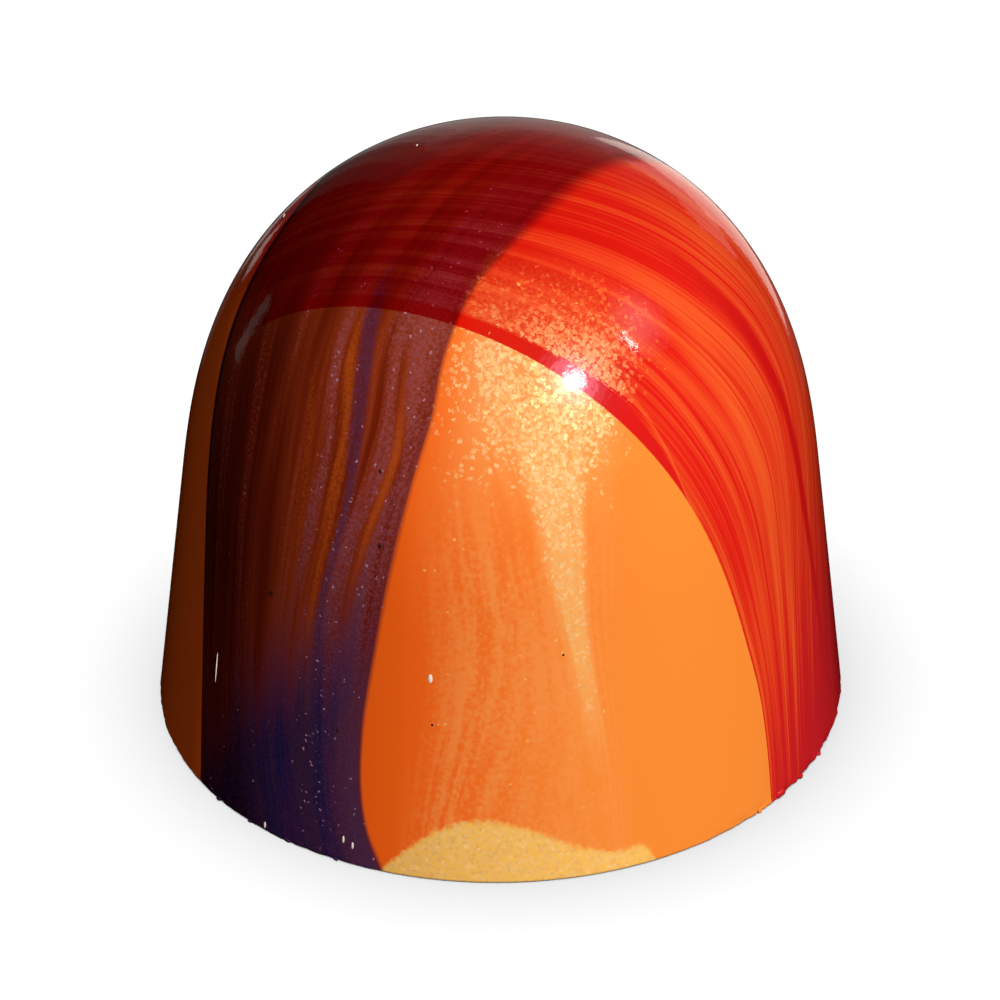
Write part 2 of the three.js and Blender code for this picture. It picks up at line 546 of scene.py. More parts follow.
# %% Crumbs and specks on the paint
# Place on the flat map, width across and length up the side, all in mm.
PALE_CRUMBS = [(-4.6, -21.8, 0.17, 0.36), (-20.9, -14.2, 0.04, 1.4), (-19.9, -23.1, 0.1, 0.3),
               (-12.9, -26.8, 0.09, 0.32), (-12.2, -27.3, 0.1, 0.3), (-9.2, 1.6, 0.3, 0.05),
               (-3.2, 1.3, 0.16, 0.05)]
DARK_SPECKS = [(-14.1, -15.1, 0.26, 0.22), (-11.7, -22.3, 0.11, 0.18), (-11.6, -19.6, 0.1, 0.12),
               (-12.4, -22.9, 0.1, 0.13), (-6.4, -16.1, 0.18, 0.2), (-5.7, -13.4, 0.13, 0.17),
               (-10.6, -12.9, 0.1, 0.1), (-7.7, -2.5, 0.14, 0.14), (3.7, -21.0, 0.1, 0.09),
               (-4.8, -23.7, 0.1, 0.11)]
PALE_THICKNESS = 0.06 * MM
DARK_THICKNESS = 0.02 * MM
A_LITTLE_UP = 0.1


def on_surface(x, y):
    """The point, and the directions across, up and out, for a place on the flat map."""
    out = math.hypot(x, y)
    angle = math.atan2(x, -y)
    here = ARC - out
    above = here + A_LITTLE_UP
    radius, radius_above = np.interp([here, above], arc, side[:, 0])
    z, z_above = np.interp([here, above], arc, side[:, 1])
    facing = Vector((math.sin(angle), -math.cos(angle), 0))
    point = facing * radius + Vector((TOP_SHIFT * z / HEIGHT, 0, z))
    up = (facing * (radius_above - radius) + Vector((0, 0, z_above - z))).normalized()
    across = Vector((0, 0, 1)).cross(facing).normalized()
    return point, across, up, across.cross(up)


def crumb(x, y, width, length, thickness):
    point, across, up, out = on_surface(x, y)
    bpy.ops.mesh.primitive_ico_sphere_add(subdivisions=2, radius=0.5)
    piece = bpy.context.active_object
    axes = (across * width * MM, up * length * MM, out * thickness)
    piece.matrix_world = Matrix.Translation(point) @ Matrix(axes).transposed().to_4x4()
    return piece


deselect_all()
crumbs = join([crumb(*c, PALE_THICKNESS) for c in PALE_CRUMBS])
named("pale_crumbs")
specks = join([crumb(*c, DARK_THICKNESS) for c in DARK_SPECKS])
named("dark_specks")
print("crumbs and specks:", len(PALE_CRUMBS), len(DARK_SPECKS))

# %% [markdown]
# The paints are made of nodes. A material in Blender is a graph, and writing it in Python is easier
# with short words for the nodes that come back again and again. Each word adds a node or two and
# gives back the output, so a finish reads like a recipe.

# %% Words for the recipes
class Recipe:
    """Builds the nodes of one material, or of the world."""

    def __init__(self, owner):
        self.owner = owner
        owner.use_nodes = True
        self.tree = owner.node_tree
        self.tree.nodes.clear()

    def node(self, kind, inputs=None, out=0, **settings):
        made = self.tree.nodes.new("ShaderNode" + kind)
        for key, value in settings.items():
            setattr(made, key, value)
        for key, value in (inputs or {}).items():
            if isinstance(value, bpy.types.NodeSocket):
                self.tree.links.new(value, made.inputs[key])
            else:
                made.inputs[key].default_value = value
        return made.outputs[out]

    def finish(self, surface, kind="OutputMaterial"):
        output = self.tree.nodes.new("ShaderNode" + kind)
        self.tree.links.new(surface, output.inputs["Surface"])
        return self.owner

    def math(self, operation, *values):
        return self.node("Math", dict(enumerate(values)), operation=operation)

    def times(self, value, *factors):
        for factor in factors:
            value = self.math("MULTIPLY", value, factor)
        return value

    def plus(self, a, b):
        return self.math("ADD", a, b)

    def minus(self, a, b):
        return self.math("SUBTRACT", a, b)

    def most(self, a, b):
        return self.math("MAXIMUM", a, b)

    def scaled(self, value, factor, offset):
        return self.math("MULTIPLY_ADD", value, factor, offset)

    def vector(self, operation, a, b=(0, 0, 0), scale=1.0):
        return self.node("VectorMath", {0: a, 1: b, 3: scale}, operation=operation)

    def split(self, vector):
        made = self.node("SeparateXYZ", {0: vector})
        return made.node.outputs[0], made.node.outputs[1], made.node.outputs[2]

    def join(self, x, y, z=0.0):
        return self.node("CombineXYZ", {0: x, 1: y, 2: z})

    def stored(self, name):
        return self.split(self.node("Attribute", out="Vector", attribute_name=name))

    def ramp(self, value, start, end, low=0.0, high=1.0, soft=True):
        shape = "SMOOTHSTEP" if soft else "LINEAR"
        inputs = {0: value, 1: start, 2: end, 3: low, 4: high}
        return self.node("MapRange", inputs, interpolation_type=shape)

    def fall(self, value, start, end):
        return self.ramp(value, start, end, 1.0, 0.0)

    def bump_at(self, value, middle, width):
        """1 at the middle, falling smoothly to 0 at half a width to either side."""
        away = self.math("ABSOLUTE", self.minus(value, middle))
        return self.fall(away, 0.0, width / 2)

    def mix(self, factor, a, b, blend="MIX"):
        """Mixes colours. A Mix node has sockets for every kind of data, and 6 and 7 take colours."""
        inputs = {0: factor, 6: a, 7: b}
        return self.node("Mix", inputs, out=2, data_type="RGBA", blend_type=blend)

    def blend_value(self, factor, a, b):
        return self.node("Mix", {0: factor, 2: a, 3: b}, out=0, data_type="FLOAT")

    def noise(self, vector, scale, detail=2.0):
        return self.node("TexNoise", {"Vector": vector, "Scale": scale, "Detail": detail})

    def streaks(self, along, share, stretch, count, seed, detail=2.0):
        """Noise drawn out along a stroke: count streaks across a share of 1, each 1/stretch mm long."""
        vector = self.join(self.times(along, stretch), self.times(share, count), seed)
        return self.noise(vector, 1.0, detail)


def new_finish(name):
    return Recipe(bpy.data.materials.new(name))


def colour(r, g, b):
    return (r, g, b, 1.0)


# %% [markdown]
# The ground is an opaque orange, sprayed last over the strokes, so it fills what they leave open. It
# is a deeper orange towards the left and paler towards the right, where it is almost the colour of an
# apricot. Gold powder lies in front of it and warms it further.

# %% The orange ground
DEEP_ORANGE = colour(0.93, 0.125, 0.008)
APRICOT = colour(0.93, 0.262, 0.036)


def orange_ground(r, x, cloudy):
    across = r.plus(x, r.scaled(cloudy, 3.0, -1.5))
    return r.mix(r.ramp(across, -6.0, 9.0), DEEP_ORANGE, APRICOT)


# %% [markdown]
# The violet paint holds pearl pigment. Thin, it only browns the orange behind it; thick, it scatters
# violet and blue light of its own. So the recipe first browns the ground by streaks, and then lays
# pigment where the stroke was fat: along its right edge, in one narrow indigo streak, and in the
# pool at the rim.

# %% The colours of the violet stroke
THIN_BROWN = colour(0.30, 0.038, 0.007)
THICK_BROWN = colour(0.14, 0.009, 0.002)
THIN_BROWN_LEFT = colour(0.13, 0.009, 0.002)
THICK_BROWN_LEFT = colour(0.06, 0.004, 0.001)
OPEN_BROWN = colour(0.40, 0.062, 0.006)
TOP_BROWN = colour(0.50, 0.060, 0.008)
UPPER_PEARL = colour(0.28, 0.046, 0.030)
LOWER_PEARL = colour(0.150, 0.028, 0.050)
PEARL_GRAIN = colour(0.34, 0.10, 0.125)
INDIGO = colour(0.060, 0.012, 0.040)
INDIGO_GRAIN = colour(0.15, 0.05, 0.12)
BLUE_NAVY = colour(0.009, 0.008, 0.062)
PLUM_NAVY = colour(0.034, 0.012, 0.046)
EDGE_NAVY = colour(0.066, 0.022, 0.062)
LEFT_NAVY = colour(0.008, 0.002, 0.017)
NAVY_GRAIN = colour(0.17, 0.04, 0.075)
LEFT_BEAD = colour(0.006, 0.006, 0.018)
EDGE_BROWN = colour(0.16, 0.012, 0.006)


def brown_film(r, along, share, streak, openness):
    """The thin paint: brown in streaks, darker towards the left, paler where it opens up."""
    to_left = r.ramp(share, 0.28, 0.62)
    thin = r.mix(to_left, THIN_BROWN, THIN_BROWN_LEFT)
    thick = r.mix(to_left, THICK_BROWN, THICK_BROWN_LEFT)
    film = r.mix(r.ramp(streak, 0.3, 0.68), thick, thin)
    film = r.mix(openness, film, OPEN_BROWN)
    return r.mix(r.ramp(along, -1.0, 8.0, 0.3, 0.0), film, TOP_BROWN)


def pearl_paint(r, along, stipple):
    shimmer = r.mix(r.ramp(along, 9.0, 20.0), UPPER_PEARL, LOWER_PEARL)
    return r.mix(r.times(stipple, 0.3), shimmer, PEARL_GRAIN)


def pooled_navy(r, share, streak, stipple):
    blue = r.mix(r.ramp(streak, 0.46, 0.58), BLUE_NAVY, PLUM_NAVY)
    near = r.mix(r.ramp(share, 0.03, 0.2), EDGE_NAVY, blue)
    far = r.mix(r.ramp(share, 0.36, 0.66), near, LEFT_NAVY)
    return r.mix(r.times(stipple, 0.12), far, NAVY_GRAIN)


# %% The violet stroke
def violet_edges(r, body, along, edge_share):
    """A dark bead along the left edge, and a thin brown line along the right one."""
    bead = r.times(r.bump_at(edge_share, 0.968, 0.055), r.fall(along, 3.0, 11.0))
    body = r.mix(bead, body, LEFT_BEAD)
    return r.mix(r.ramp(edge_share, 0.0, 0.03, 0.6, 0.0), body, EDGE_BROWN)


def violet_cover(r, along, fine, edge_share):
    """1 inside the stroke. Its right edge is soft near the top, and bristles mark its start."""
    softness = r.ramp(along, 2.0, 8.0, 0.05, 0.012)
    right = r.ramp(r.math("DIVIDE", edge_share, softness), -0.8, 1.0)
    left = r.fall(edge_share, 0.992, 1.004)
    start = r.ramp(r.plus(along, r.times(fine, 6.0)), -16.0, -12.0)
    return r.times(right, left, start)


def violet_layer(r, under, stroke, paint, stipple):
    """The stroke laid over what is under it, and how much pearl shows at each point."""
    along, share, _ = stroke
    pearl, indigo, pool = paint
    broad = r.streaks(along, share, 0.06, 15.0, 1.0, 3.0)
    fine = r.streaks(along, share, 0.13, 70.0, 2.0)
    streak = r.plus(r.times(broad, 0.72), r.times(fine, 0.28))
    uneven = r.scaled(streak, 2.8, -1.4)
    broken = r.plus(uneven, r.scaled(stipple, 0.5, -0.25))
    pearly = r.times(r.ramp(r.plus(pearl, broken), 0.05, 1.25), r.ramp(along, 0.0, 8.5, 0.2, 1.0))
    inky = r.ramp(r.plus(indigo, r.times(broken, 0.6)), 0.25, 0.95)
    inky = r.times(inky, r.ramp(along, -2.0, 6.0, 0.5, 1.0))
    openness = r.ramp(r.minus(broken, pearl), 0.1, 1.7)
    body = brown_film(r, along, share, streak, openness)
    body = r.mix(pearly, body, pearl_paint(r, along, stipple))
    body = r.mix(r.times(inky, 0.68), body, r.mix(r.times(stipple, 0.4), INDIGO, INDIGO_GRAIN))
    filled = r.ramp(r.plus(pool, r.times(uneven, 0.7)), 0.1, 1.05)
    body = r.mix(filled, body, pooled_navy(r, share, broad, stipple))
    edge_share = r.plus(share, r.scaled(fine, 0.016, -0.008))
    body = violet_edges(r, body, along, edge_share)
    cover = violet_cover(r, along, fine, edge_share)
    return r.mix(cover, under, body), r.times(cover, r.most(pearly, inky))


# %% [markdown]
# The red paint is clear, like stained glass, and lies in front of everything else. It is therefore
# not mixed in but multiplied: over orange it gives tomato red, over the violet stroke a dark maroon.
# Its streaks are thicker and thinner places in the glass. The bead along the edge is the thickest.

# %% The red stroke
THIN_GLASS = colour(0.89, 0.38, 0.55)
THICK_GLASS = colour(0.76, 0.05, 0.22)
BEAD_GLASS = colour(0.70, 0.042, 0.26)
RIM_GLASS = colour(0.60, 0.05, 0.52)
START_GLASS = colour(0.60, 0.026, 0.06)
START_BEAD = colour(0.76, 0.045, 0.07)
DEEP_GLASS = colour(0.62, 0.028, 0.17)


def glass_thickness(r, stroke, paint, broad, fine):
    """0 where the glass is thin and lets the orange through, 1 where it is thick and red."""
    along, share, bead_share = stroke
    deep, clear, full = paint
    streak = r.plus(r.times(broad, 0.56), r.times(fine, 0.44))
    thickness = r.ramp(streak, 0.4, 0.62, 1.0, 0.0, soft=False)
    more = r.plus(r.times(full, 0.4), r.ramp(along, 17.0, 28.0, 0.0, 0.6))
    more = r.plus(more, r.ramp(along, -7.0, 0.0, 0.25, 0.0))
    thickness = r.plus(thickness, r.minus(more, r.times(clear, 0.3)))
    thickness = r.most(thickness, r.plus(deep, r.scaled(fine, 1.0, -0.6)))
    beside_bead = r.times(r.bump_at(bead_share, 1.28, 0.5), r.ramp(along, 1.0, 5.0, 0.0, 0.7))
    thickness = r.minus(thickness, beside_bead)
    dark_line = r.times(r.bump_at(share, 0.012, 0.03), r.ramp(along, 9.0, 11.0))
    thickness = r.most(thickness, dark_line)
    return r.math("MINIMUM", r.most(thickness, 0.0), 1.0)


def glass_colour(r, along, share, broad, fine, deep, thickness):
    glass = r.mix(thickness, THIN_GLASS, THICK_GLASS)
    deepest = r.times(r.ramp(r.times(deep, thickness), 0.25, 0.8), r.ramp(along, 4.0, 12.0))
    glass = r.mix(deepest, glass, DEEP_GLASS)
    at_start = r.times(r.ramp(along, 1.0, 9.0, 0.7, 0.0), r.fall(share, 0.5, 1.0))
    glass = r.mix(r.times(at_start, r.ramp(broad, 0.36, 0.64, 1.0, 0.1)), glass, START_GLASS)
    bristle_marks = r.times(r.ramp(fine, 0.36, 0.43, 0.6, 0.0), r.ramp(along, 6.0, 12.0))
    glass = r.mix(bristle_marks, glass, START_GLASS)
    at_rim = r.times(r.ramp(along, 17.0, 27.0), r.ramp(thickness, 0.3, 0.9))
    return r.mix(at_rim, glass, RIM_GLASS)


def red_cover(r, along, share, fine):
    """1 inside the stroke, with bristle marks where it starts and at its far edge."""
    near_edge = r.ramp(share, -0.002, 0.004)
    start = r.ramp(r.plus(along, r.times(fine, 5.0)), -10.5, -7.5)
    far_edge = r.fall(r.plus(share, r.times(fine, 0.1)), 1.98, 2.06)
    return r.times(near_edge, start, far_edge)


def red_layer(r, under, stroke, paint):
    """The glass over what is under it, where the stroke is, and where its bead is."""
    along, share, bead_share = stroke
    past_end = r.most(r.minus(share, 1.0), 0.0)
    spread = r.math("MULTIPLY_ADD", past_end, 1.2, share)
    broad = r.streaks(along, spread, 0.05, 16.0, 11.0, 3.0)
    fine = r.streaks(along, spread, 0.07, 120.0, 12.0, 3.0)
    thickness = glass_thickness(r, stroke, paint, broad, fine)
    glass = glass_colour(r, along, share, broad, fine, paint[0], thickness)
    bead = r.fall(r.plus(bead_share, r.scaled(fine, 0.5, -0.25)), 0.8, 1.05)
    glass = r.mix(bead, glass, r.mix(r.ramp(along, 0.0, 8.0), START_BEAD, BEAD_GLASS))
    cover = red_cover(r, along, share, fine)
    return r.mix(cover, under, glass, "MULTIPLY"), cover, r.times(bead, cover)


# %% [markdown]
# Gold powder is thousands of flakes, each about a seventh of a millimetre across. A Voronoi pattern
# gives them: each of its cells gets a random number, and becomes a flake where that number is lower
# than the amount of powder. Where the powder lies thick nearly every cell is one, and the flakes
# touch with thin darker seams. Each flake also faces its own way, so that some catch the lamp.

# %% The gold powder
FLAKE_SIZE = 0.14 * MM
FLAKE_TILT = 0.22
CRUMPLE_SIZE = 0.12 * MM
CRUMPLE_SHIFT = 0.24 * MM


def flake_cells(r, place):
    """Random numbers for tilt and for choice, the flake's own shape, and its middle."""
    crumple = r.node("TexNoise", {"Vector": place, "Scale": 1 / CRUMPLE_SIZE}, out="Color")
    crumple = r.vector("SCALE", crumple, scale=CRUMPLE_SHIFT)
    inputs = {"Vector": r.vector("ADD", place, crumple), "Scale": 1 / FLAKE_SIZE}
    numbers = r.node("TexVoronoi", inputs, out="Color")
    distance = numbers.node.outputs["Distance"]
    chance = r.node("TexWhiteNoise", {"Vector": numbers}, out="Value")
    radius = r.scaled(r.split(numbers)[0], 0.26, 0.5)
    grain = r.fall(r.minus(distance, radius), -0.12, 0.12)
    return numbers, chance, grain, r.fall(distance, 0.2, 0.42)


def gold_amount(r, powder, grainy):
    """Where powder lies at all, and how much there is as fine dust, as the dense streak and as the dab."""
    along, share, dab = powder
    fine = r.streaks(along, share, 0.16, 26.0, 21.0, 4.0)
    inside = r.times(r.ramp(share, -0.06, 0.2), r.fall(share, 0.6, 1.0))
    inside = r.times(inside, r.ramp(along, 4.5, 8.5))
    fan = r.times(r.ramp(share, 0.08, 0.36), r.fall(share, 0.6, 0.84))
    fan = r.times(fan, r.fall(along, 10.0, 16.5))
    streak = r.most(r.ramp(r.bump_at(share, 0.5, 0.42), 0.2, 0.8), fan)
    streak = r.times(streak, r.ramp(along, 7.0, 10.0), r.fall(along, 20.0, 26.0))
    uneven = r.ramp(r.plus(fine, r.scaled(grainy, 0.7, -0.35)), 0.3, 0.7)
    uneven = r.blend_value(r.ramp(along, 12.0, 19.0), 0.5, uneven)
    dusted = r.times(inside, r.scaled(uneven, 0.8, 0.1))
    dense = r.times(streak, r.ramp(fine, 0.25, 0.5, 0.6, 1.0))
    rough_dab = r.plus(dab, r.scaled(grainy, 0.4, -0.2))
    return inside, dusted, dense, r.ramp(rough_dab, -0.2, 0.2)


def tilted_normal(r, numbers, flake):
    """Each flake faces its own way; the paint between them keeps the surface's own direction."""
    tilt = r.vector("SUBTRACT", numbers, (0.5, 0.5, 0.5))
    tilt = r.vector("SCALE", tilt, scale=FLAKE_TILT)
    facing = r.node("NewGeometry", out="Normal")
    turned = r.vector("NORMALIZE", r.vector("ADD", facing, tilt))
    return r.node("Mix", {0: flake, 4: facing, 5: turned}, out=1, data_type="VECTOR")


# %% The colours of the powder
FINE_DUST = colour(0.95, 0.285, 0.062)
UPPER_SEAMS = colour(0.84, 0.32, 0.10)
LOWER_SEAMS = colour(0.94, 0.41, 0.115)
DAB_GOLD = colour(0.97, 0.53, 0.11)
RED_SAND = colour(0.88, 0.145, 0.032)
STRAY_GOLD = colour(0.96, 0.52, 0.14)
PEARL_FLAKE = colour(0.58, 0.30, 0.44)
PEARL_IN_RED = colour(0.42, 0.06, 0.13)
# The deepest and the palest flake: on the orange, thinly strewn under the red paint, and thickly strewn
# under the red beside the highlight, where they are paler as painted sparkle.
ON_ORANGE = colour(0.93, 0.45, 0.14), colour(0.96, 0.64, 0.31)
THIN_IN_RED = colour(0.84, 0.11, 0.022), colour(0.91, 0.18, 0.045)
IN_RED_BY_HIGHLIGHT = colour(0.90, 0.19, 0.06), colour(0.97, 0.46, 0.21)


def flake_colour(r, numbers, red_cover, thick):
    """Pale to deep gold, by the flake's own random number, redder under the red paint, and paler where
    thick beside the highlight, as painted sparkle.
    """
    pale = r.split(numbers)[1]
    in_red = r.mix(thick, r.mix(pale, *THIN_IN_RED), r.mix(pale, *IN_RED_BY_HIGHLIGHT))
    return r.mix(red_cover, r.mix(pale, *ON_ORANGE), in_red)


def dusted_ground(r, ground, down, amount):
    """The orange with the finest powder, which also shows as seams between the flakes."""
    _, dusted, dense, dab = amount
    seams = r.mix(r.ramp(down, 10.0, 15.0), UPPER_SEAMS, LOWER_SEAMS)
    ground = r.mix(dusted, ground, FINE_DUST)
    ground = r.mix(dense, ground, seams)
    return r.mix(dab, ground, DAB_GOLD)


def flake_amount(r, down, amount):
    """How much is strewn thinly, most of it round the highlight as painted sparkle, and how much in all
    with the streak and the dab.
    """
    inside, _, dense, dab = amount
    # Thin flakes gather round the highlight. The powder is real, but its gathering there is painted
    # sparkle.
    upper = r.times(r.ramp(down, 9.0, 17.0, 0.6, 0.06), r.ramp(down, 4.5, 9.0, 0.1, 1.0))
    thin = r.times(inside, upper)
    thick = r.times(dense, r.ramp(down, 13.0, 20.0, 1.3, 0.6))
    return thin, r.most(r.most(thin, thick), r.times(dab, 0.9))


def strew_gold(r, painted, powder, amount, cells, red_cover, is_gold):
    """Lays the flakes over the paint, with a few stray ones round them."""
    down, across, _ = powder
    inside, _, dense, _ = amount
    numbers, chance, _, fleck = cells
    strength = r.times(r.ramp(down, 15.0, 21.0, 0.85, 0.5), r.ramp(across, 0.85, 1.0, 1.0, 0.5))
    # Dense flakes under the red beside the highlight take paler colours: painted sparkle.
    gold = flake_colour(r, numbers, red_cover, r.times(dense, r.ramp(down, 6.8, 9.2)))
    painted = r.mix(r.times(is_gold, strength), painted, gold)
    stray = r.times(r.math("LESS_THAN", chance, r.times(inside, 0.012)), fleck)
    return r.mix(r.times(stray, 0.85), painted, STRAY_GOLD)


# %% [markdown]
# Now the layers are put together, from the back of the paint to its front. The gloss lies over all
# of them. It is a clear coat, because cocoa butter takes its shine from the polished mould, while
# the pigments below it are matt. A very slight waviness in the coat breaks up the reflection of the
# lamp.

# %% The painted skin
SKIN_GLOSS = 0.07
SKIN_WAVES = 0.006 * MM
WAVE_SIZE = 0.3 * MM
GRAIN_SIZE = 0.2 * MM
STIPPLE_SIZE = 0.11 * MM
CLOUD_SIZE = 1.4 * MM


def glossy_paint(r, base, normal, flake, place):
    waves = r.noise(place, 1 / WAVE_SIZE)
    inputs = {
        "Base Color": base,
        "Metallic": r.times(flake, 0.05),
        "Roughness": 0.36,
        "Specular IOR Level": 0.0,
        "Normal": normal,
        "Coat Weight": 1.0,
        "Coat Roughness": SKIN_GLOSS,
        "Coat IOR": 1.46,
        "Coat Normal": r.node("Bump", {"Distance": SKIN_WAVES, "Height": waves}),
    }
    return r.finish(r.node("BsdfPrincipled", inputs))


def painted_skin():
    r = new_finish("painted_cocoa_butter")
    place = r.node("TexCoord", out="Object")
    grainy = r.noise(place, 1 / GRAIN_SIZE, 3.0)
    stipple = r.ramp(r.noise(place, 1 / STIPPLE_SIZE, 2.0), 0.35, 0.65)
    powder = r.stored("gold_powder")
    down, across, _ = powder
    amount = gold_amount(r, powder, grainy)
    ground = orange_ground(r, r.stored("flat_map")[0], r.noise(place, 1 / CLOUD_SIZE, 3.0))
    ground = dusted_ground(r, ground, down, amount)
    violet_paint = r.stored("violet_paint")
    painted, pearly = violet_layer(r, ground, r.stored("violet_stroke"), violet_paint, stipple)
    painted, red_cover, bead = red_layer(r, painted, r.stored("red_stroke"), r.stored("red_paint"))
    thin, wanted = flake_amount(r, down, amount)
    off_bead = r.minus(1.0, bead)
    # The sand follows the thin flakes, so it too gathers round the highlight as painted sparkle.
    sand = r.times(thin, red_cover, r.fall(across, 0.5, 0.85), r.scaled(stipple, 0.6, 0.4))
    painted = r.mix(r.times(sand, off_bead), painted, RED_SAND)
    cells = flake_cells(r, place)
    numbers, chance, grain, fleck = cells
    is_gold = r.ramp(r.minus(r.times(wanted, off_bead), chance), 0.0, 0.3)
    is_gold = r.times(is_gold, grain)
    base = strew_gold(r, painted, powder, amount, cells, red_cover, is_gold)
    is_pearl = r.times(r.math("LESS_THAN", chance, r.times(pearly, 0.1)), fleck)
    base = r.mix(r.times(is_pearl, 0.8), base, r.mix(red_cover, PEARL_FLAKE, PEARL_IN_RED))
    flake = r.most(is_gold, is_pearl)
    return glossy_paint(r, base, tilted_normal(r, numbers, flake), flake, place)


# %% [markdown]
# The underside is bare chocolate. It is a warm dark brown with a satin finish, slightly lighter where
# the scraper dragged it. It has no coloured butter on it, so it gets its own simple recipe.

# %% The bare chocolate and the plain finishes
DARK_CHOCOLATE = colour(0.070, 0.024, 0.010)
PALE_CHOCOLATE = colour(0.125, 0.046, 0.020)
DRAWN_SCALE = (60, 900, 900)
MOTTLE_SIZE = 3 * MM
MARK_DEPTH = 0.05 * MM
CRUMB = colour(0.86, 0.78, 0.68)
COCOA = colour(0.045, 0.010, 0.008)
LOOKS_DOWN = -0.8


def bare_chocolate():
    r = new_finish("bare_chocolate")
    place = r.node("TexCoord", out="Object")
    drawn = r.node("Mapping", {0: place, "Scale": DRAWN_SCALE})
    marks = r.noise(drawn, 1.0, 4.0)
    tone = r.plus(r.times(marks, 0.6), r.times(r.noise(place, 1 / MOTTLE_SIZE, 3.0), 0.4))
    base = r.mix(r.ramp(tone, 0.35, 0.65), DARK_CHOCOLATE, PALE_CHOCOLATE)
    bump = r.node("Bump", {"Strength": 0.25, "Distance": MARK_DEPTH, "Height": marks})
    inputs = {"Base Color": base, "Roughness": r.ramp(marks, 0.3, 0.7, 0.34, 0.52), "Normal": bump}
    return r.finish(r.node("BsdfPrincipled", inputs))


def plain_finish(name, base, roughness):
    r = new_finish(name)
    return r.finish(r.node("BsdfPrincipled", {"Base Color": base, "Roughness": roughness}))


def paint_by_place(piece, skin, chocolate):
    """The first material goes on the side, and the second on faces that look down."""
    piece.data.materials.append(skin)
    piece.data.materials.append(chocolate)
    for face in piece.data.polygons:
        face.material_index = 1 if face.normal.z < LOOKS_DOWN else 0


skin = painted_skin()
paint_by_place(praline, skin, bare_chocolate())
crumbs.data.materials.append(plain_finish("pale_crumb", CRUMB, 0.6))
specks.data.materials.append(plain_finish("dark_speck", COCOA, 0.3))
for piece in (crumbs, specks):
    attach(piece, "root")
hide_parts("praline")
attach(praline, "root")
print("nodes in the skin:", len(skin.node_tree.nodes))

# %% [markdown]
# The camera looks down on the praline from the front, at the angle of the reference: 31.8 degrees
# above the level, from 126 mm away, through a long lens. It is rolled by less than a degree, because
# the picture was held slightly askew.

# %% The camera
AIM = Vector((0.0655, 0, 8.2517)) * MM
ELEVATION = math.radians(31.831)
DISTANCE = 126 * MM
LENS = 113.666
SENSOR = 36
ROLL = math.radians(-0.673)


def place_camera():
    data = bpy.data.cameras.new("camera")
    data.lens = LENS
    data.sensor_width = SENSOR
    data.clip_start = 5 * MM
    data.clip_end = 10
    camera = bpy.data.objects.new("camera", data)
    bpy.context.collection.objects.link(camera)
    back = Vector((0, -math.cos(ELEVATION), math.sin(ELEVATION)))
    turn = (-back).to_track_quat("-Z", "Y").to_matrix() @ Matrix.Rotation(ROLL, 3, "Z")
    camera.matrix_world = Matrix.Translation(AIM + back * DISTANCE) @ turn.to_4x4()
    bpy.context.scene.camera = camera
    return camera


camera = place_camera()
print("camera at, in mm:", [round(v / MM, 1) for v in camera.matrix_world.translation])

# %% [markdown]
# The studio is plain: a pale floor, one small key light from the upper right, and an even dim fill.
# The key leaves the left side dark, and a broad light from behind keeps the back readable. The floor
# has a light of its own, so that it stays pale all over and the praline keeps only a soft contact
# shadow. Light linking keeps the two apart.

# %% The floor and the fill
FLOOR_SIDE = 6
FLOOR_GREY = colour(0.86, 0.86, 0.86)
FILL = 0.15


def pale_floor():
    deselect_all()
    bpy.ops.mesh.primitive_plane_add(size=FLOOR_SIDE, location=(0, 0, 0))
    floor = named("floor")
    r = new_finish("pale_floor")
    floor.data.materials.append(r.finish(r.node("BsdfDiffuse", {"Color": FLOOR_GREY})))
    floor.visible_diffuse = False
    floor.visible_glossy = False
    floor.visible_shadow = False
    return floor


def studio_world():
    """An even fill that brightens what it falls on, but isn't mirrored in the gloss."""
    r = Recipe(bpy.data.worlds.new("studio"))
    mirrored = r.node("LightPath", out="Is Glossy Ray")
    strength = r.times(r.minus(1.0, mirrored), FILL)
    return r.finish(r.node("Background", {"Strength": strength}), "OutputWorld")


def lit_by(name, objects):
    group = bpy.data.collections.new(name)
    for item in objects:
        group.objects.link(item)
    return group


floor = pale_floor()
bpy.context.scene.world = studio_world()
praline.visible_diffuse = False
praline_only = lit_by("lit_praline", [praline, crumbs, specks])
floor_only = lit_by("lit_floor", [floor])

# %% [markdown]
# A glossy piece is seen by what it mirrors, so cards stand round the praline, outside the picture.
# Walls set inside one another add up to the pale band over the top, brightest in its middle. A
# brighter card gives the patch at the upper right, and slits give the small marks to the left and
# right. The paint also glows softly round the highlight. Discs behind the key give that glow, each
# of them wider than the one before, and only the gloss sees them.

# %% The lights
REACH = 0.6
KEY_PLACE = (34.3, 39.9)
KEY_SIZE = (0.034, 0.034)
KEY_RADIANCE = 1400
SIDE_PLACE = (80, 42)
WHITE = (1.0, 1.0, 1.0)
WARM = (1.0, 0.96, 0.9)
ROSY = (1.0, 0.55, 0.75)
PEACHY = (1.0, 0.88, 0.78)
# Discs of glow, one behind the other: diameter in m, and radiance.
GLOW_STEP = 0.01
KEY_GLOW = [(0.054, 12), (0.1, 9), (0.19, 4.5), (0.3, 1.2)]
SIDE_GLOW = [(0.07, 0.6), (0.13, 0.7), (0.19, 0.6), (0.27, 0.4)]
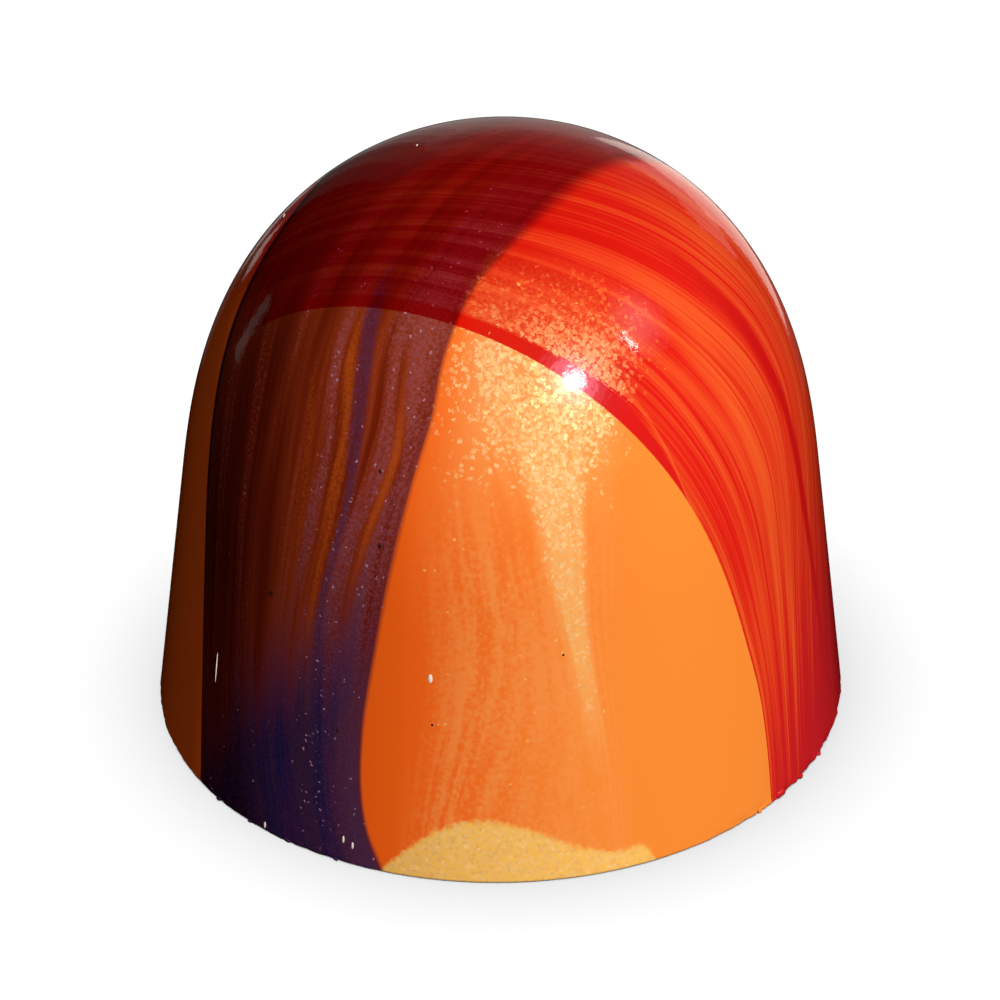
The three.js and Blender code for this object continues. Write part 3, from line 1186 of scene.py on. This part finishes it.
# Cards: azimuth, elevation, width and height in degrees, radiance and tint.
CARDS = [
    ("right_back_card", 161, -9, 20, 20, 0.86, PEACHY),
    ("back_wall", 176, 4, 56, 60, 0.03, WARM),
    ("back_wall_second", 175, 3, 44, 50, 0.03, WARM),
    ("back_wall_third", 174, 2, 34, 42, 0.04, WARM),
    ("back_wall_fourth", 176, -1, 28, 33, 0.07, WARM),
    ("back_wall_fifth", 176, -2, 23, 27, 0.08, WARM),
    ("back_wall_middle", 176, -3, 18, 21, 0.09, WARM),
    ("right_back_inner", 152, 6, 20, 12, 0.4, PEACHY),
    ("side_slit", 69, 41, 1.8, 6, 26.0, WARM),
    ("left_slit", -154, -9, 7, 4, 0.45, WARM),
    ("upper_left_slit", -165, -16, 8, 4, 0.3, WARM),
    ("left_card", -125, 3, 5, 14, 0.2, WARM),
]


def soft_light(name, azimuth, elevation, distance, size, radiance, tint, receivers, shape="DISK"):
    """A light box that looks at the praline. Azimuth 0 is the front, and it grows towards +X."""
    data = bpy.data.lights.new(name, "AREA")
    data.shape = shape
    data.size, data.size_y = size
    area = size[0] * size[1] * (math.pi / 4 if shape == "DISK" else 1)
    data.energy = radiance * area * math.pi
    data.color = tint
    lamp = bpy.data.objects.new(name, data)
    bpy.context.collection.objects.link(lamp)
    a, e = math.radians(azimuth), math.radians(elevation)
    away = Vector((math.sin(a) * math.cos(e), -math.cos(a) * math.cos(e), math.sin(e)))
    turn = away.to_track_quat("Z", "Y").to_matrix().to_4x4()
    lamp.matrix_world = Matrix.Translation(AIM + away * distance) @ turn
    lamp.visible_camera = False
    lamp.light_linking.receiver_collection = receivers
    return lamp


def glow(name, place, discs, tint):
    for i, (wide, radiance) in enumerate(discs):
        behind = REACH + GLOW_STEP * (i + 1)
        disc = soft_light(name, *place, behind, (wide, wide), radiance, tint, praline_only)
        disc.visible_diffuse = False


def card(name, azimuth, elevation, wide, tall, radiance, tint):
    size = [2 * REACH * math.tan(math.radians(angle / 2)) for angle in (wide, tall)]
    soft_light(name, azimuth, elevation, REACH, size, radiance, tint, praline_only, "RECTANGLE")


soft_light("key", *KEY_PLACE, REACH, KEY_SIZE, KEY_RADIANCE, WARM, praline_only)
glow("key_glow", KEY_PLACE, KEY_GLOW, ROSY)
glow("side_glow", SIDE_PLACE, SIDE_GLOW, WARM)
for values in CARDS:
    card(*values)
back_fill = soft_light("back_fill", 180, 5, 0.9, (0.5, 0.5), 3.2, WHITE, praline_only)
back_fill.visible_glossy = False
soft_light("floor_light", 0, 88, 1.2, (1.6, 1.6), 3.75, WHITE, floor_only)
bpy.context.scene.view_settings.view_transform = "Standard"
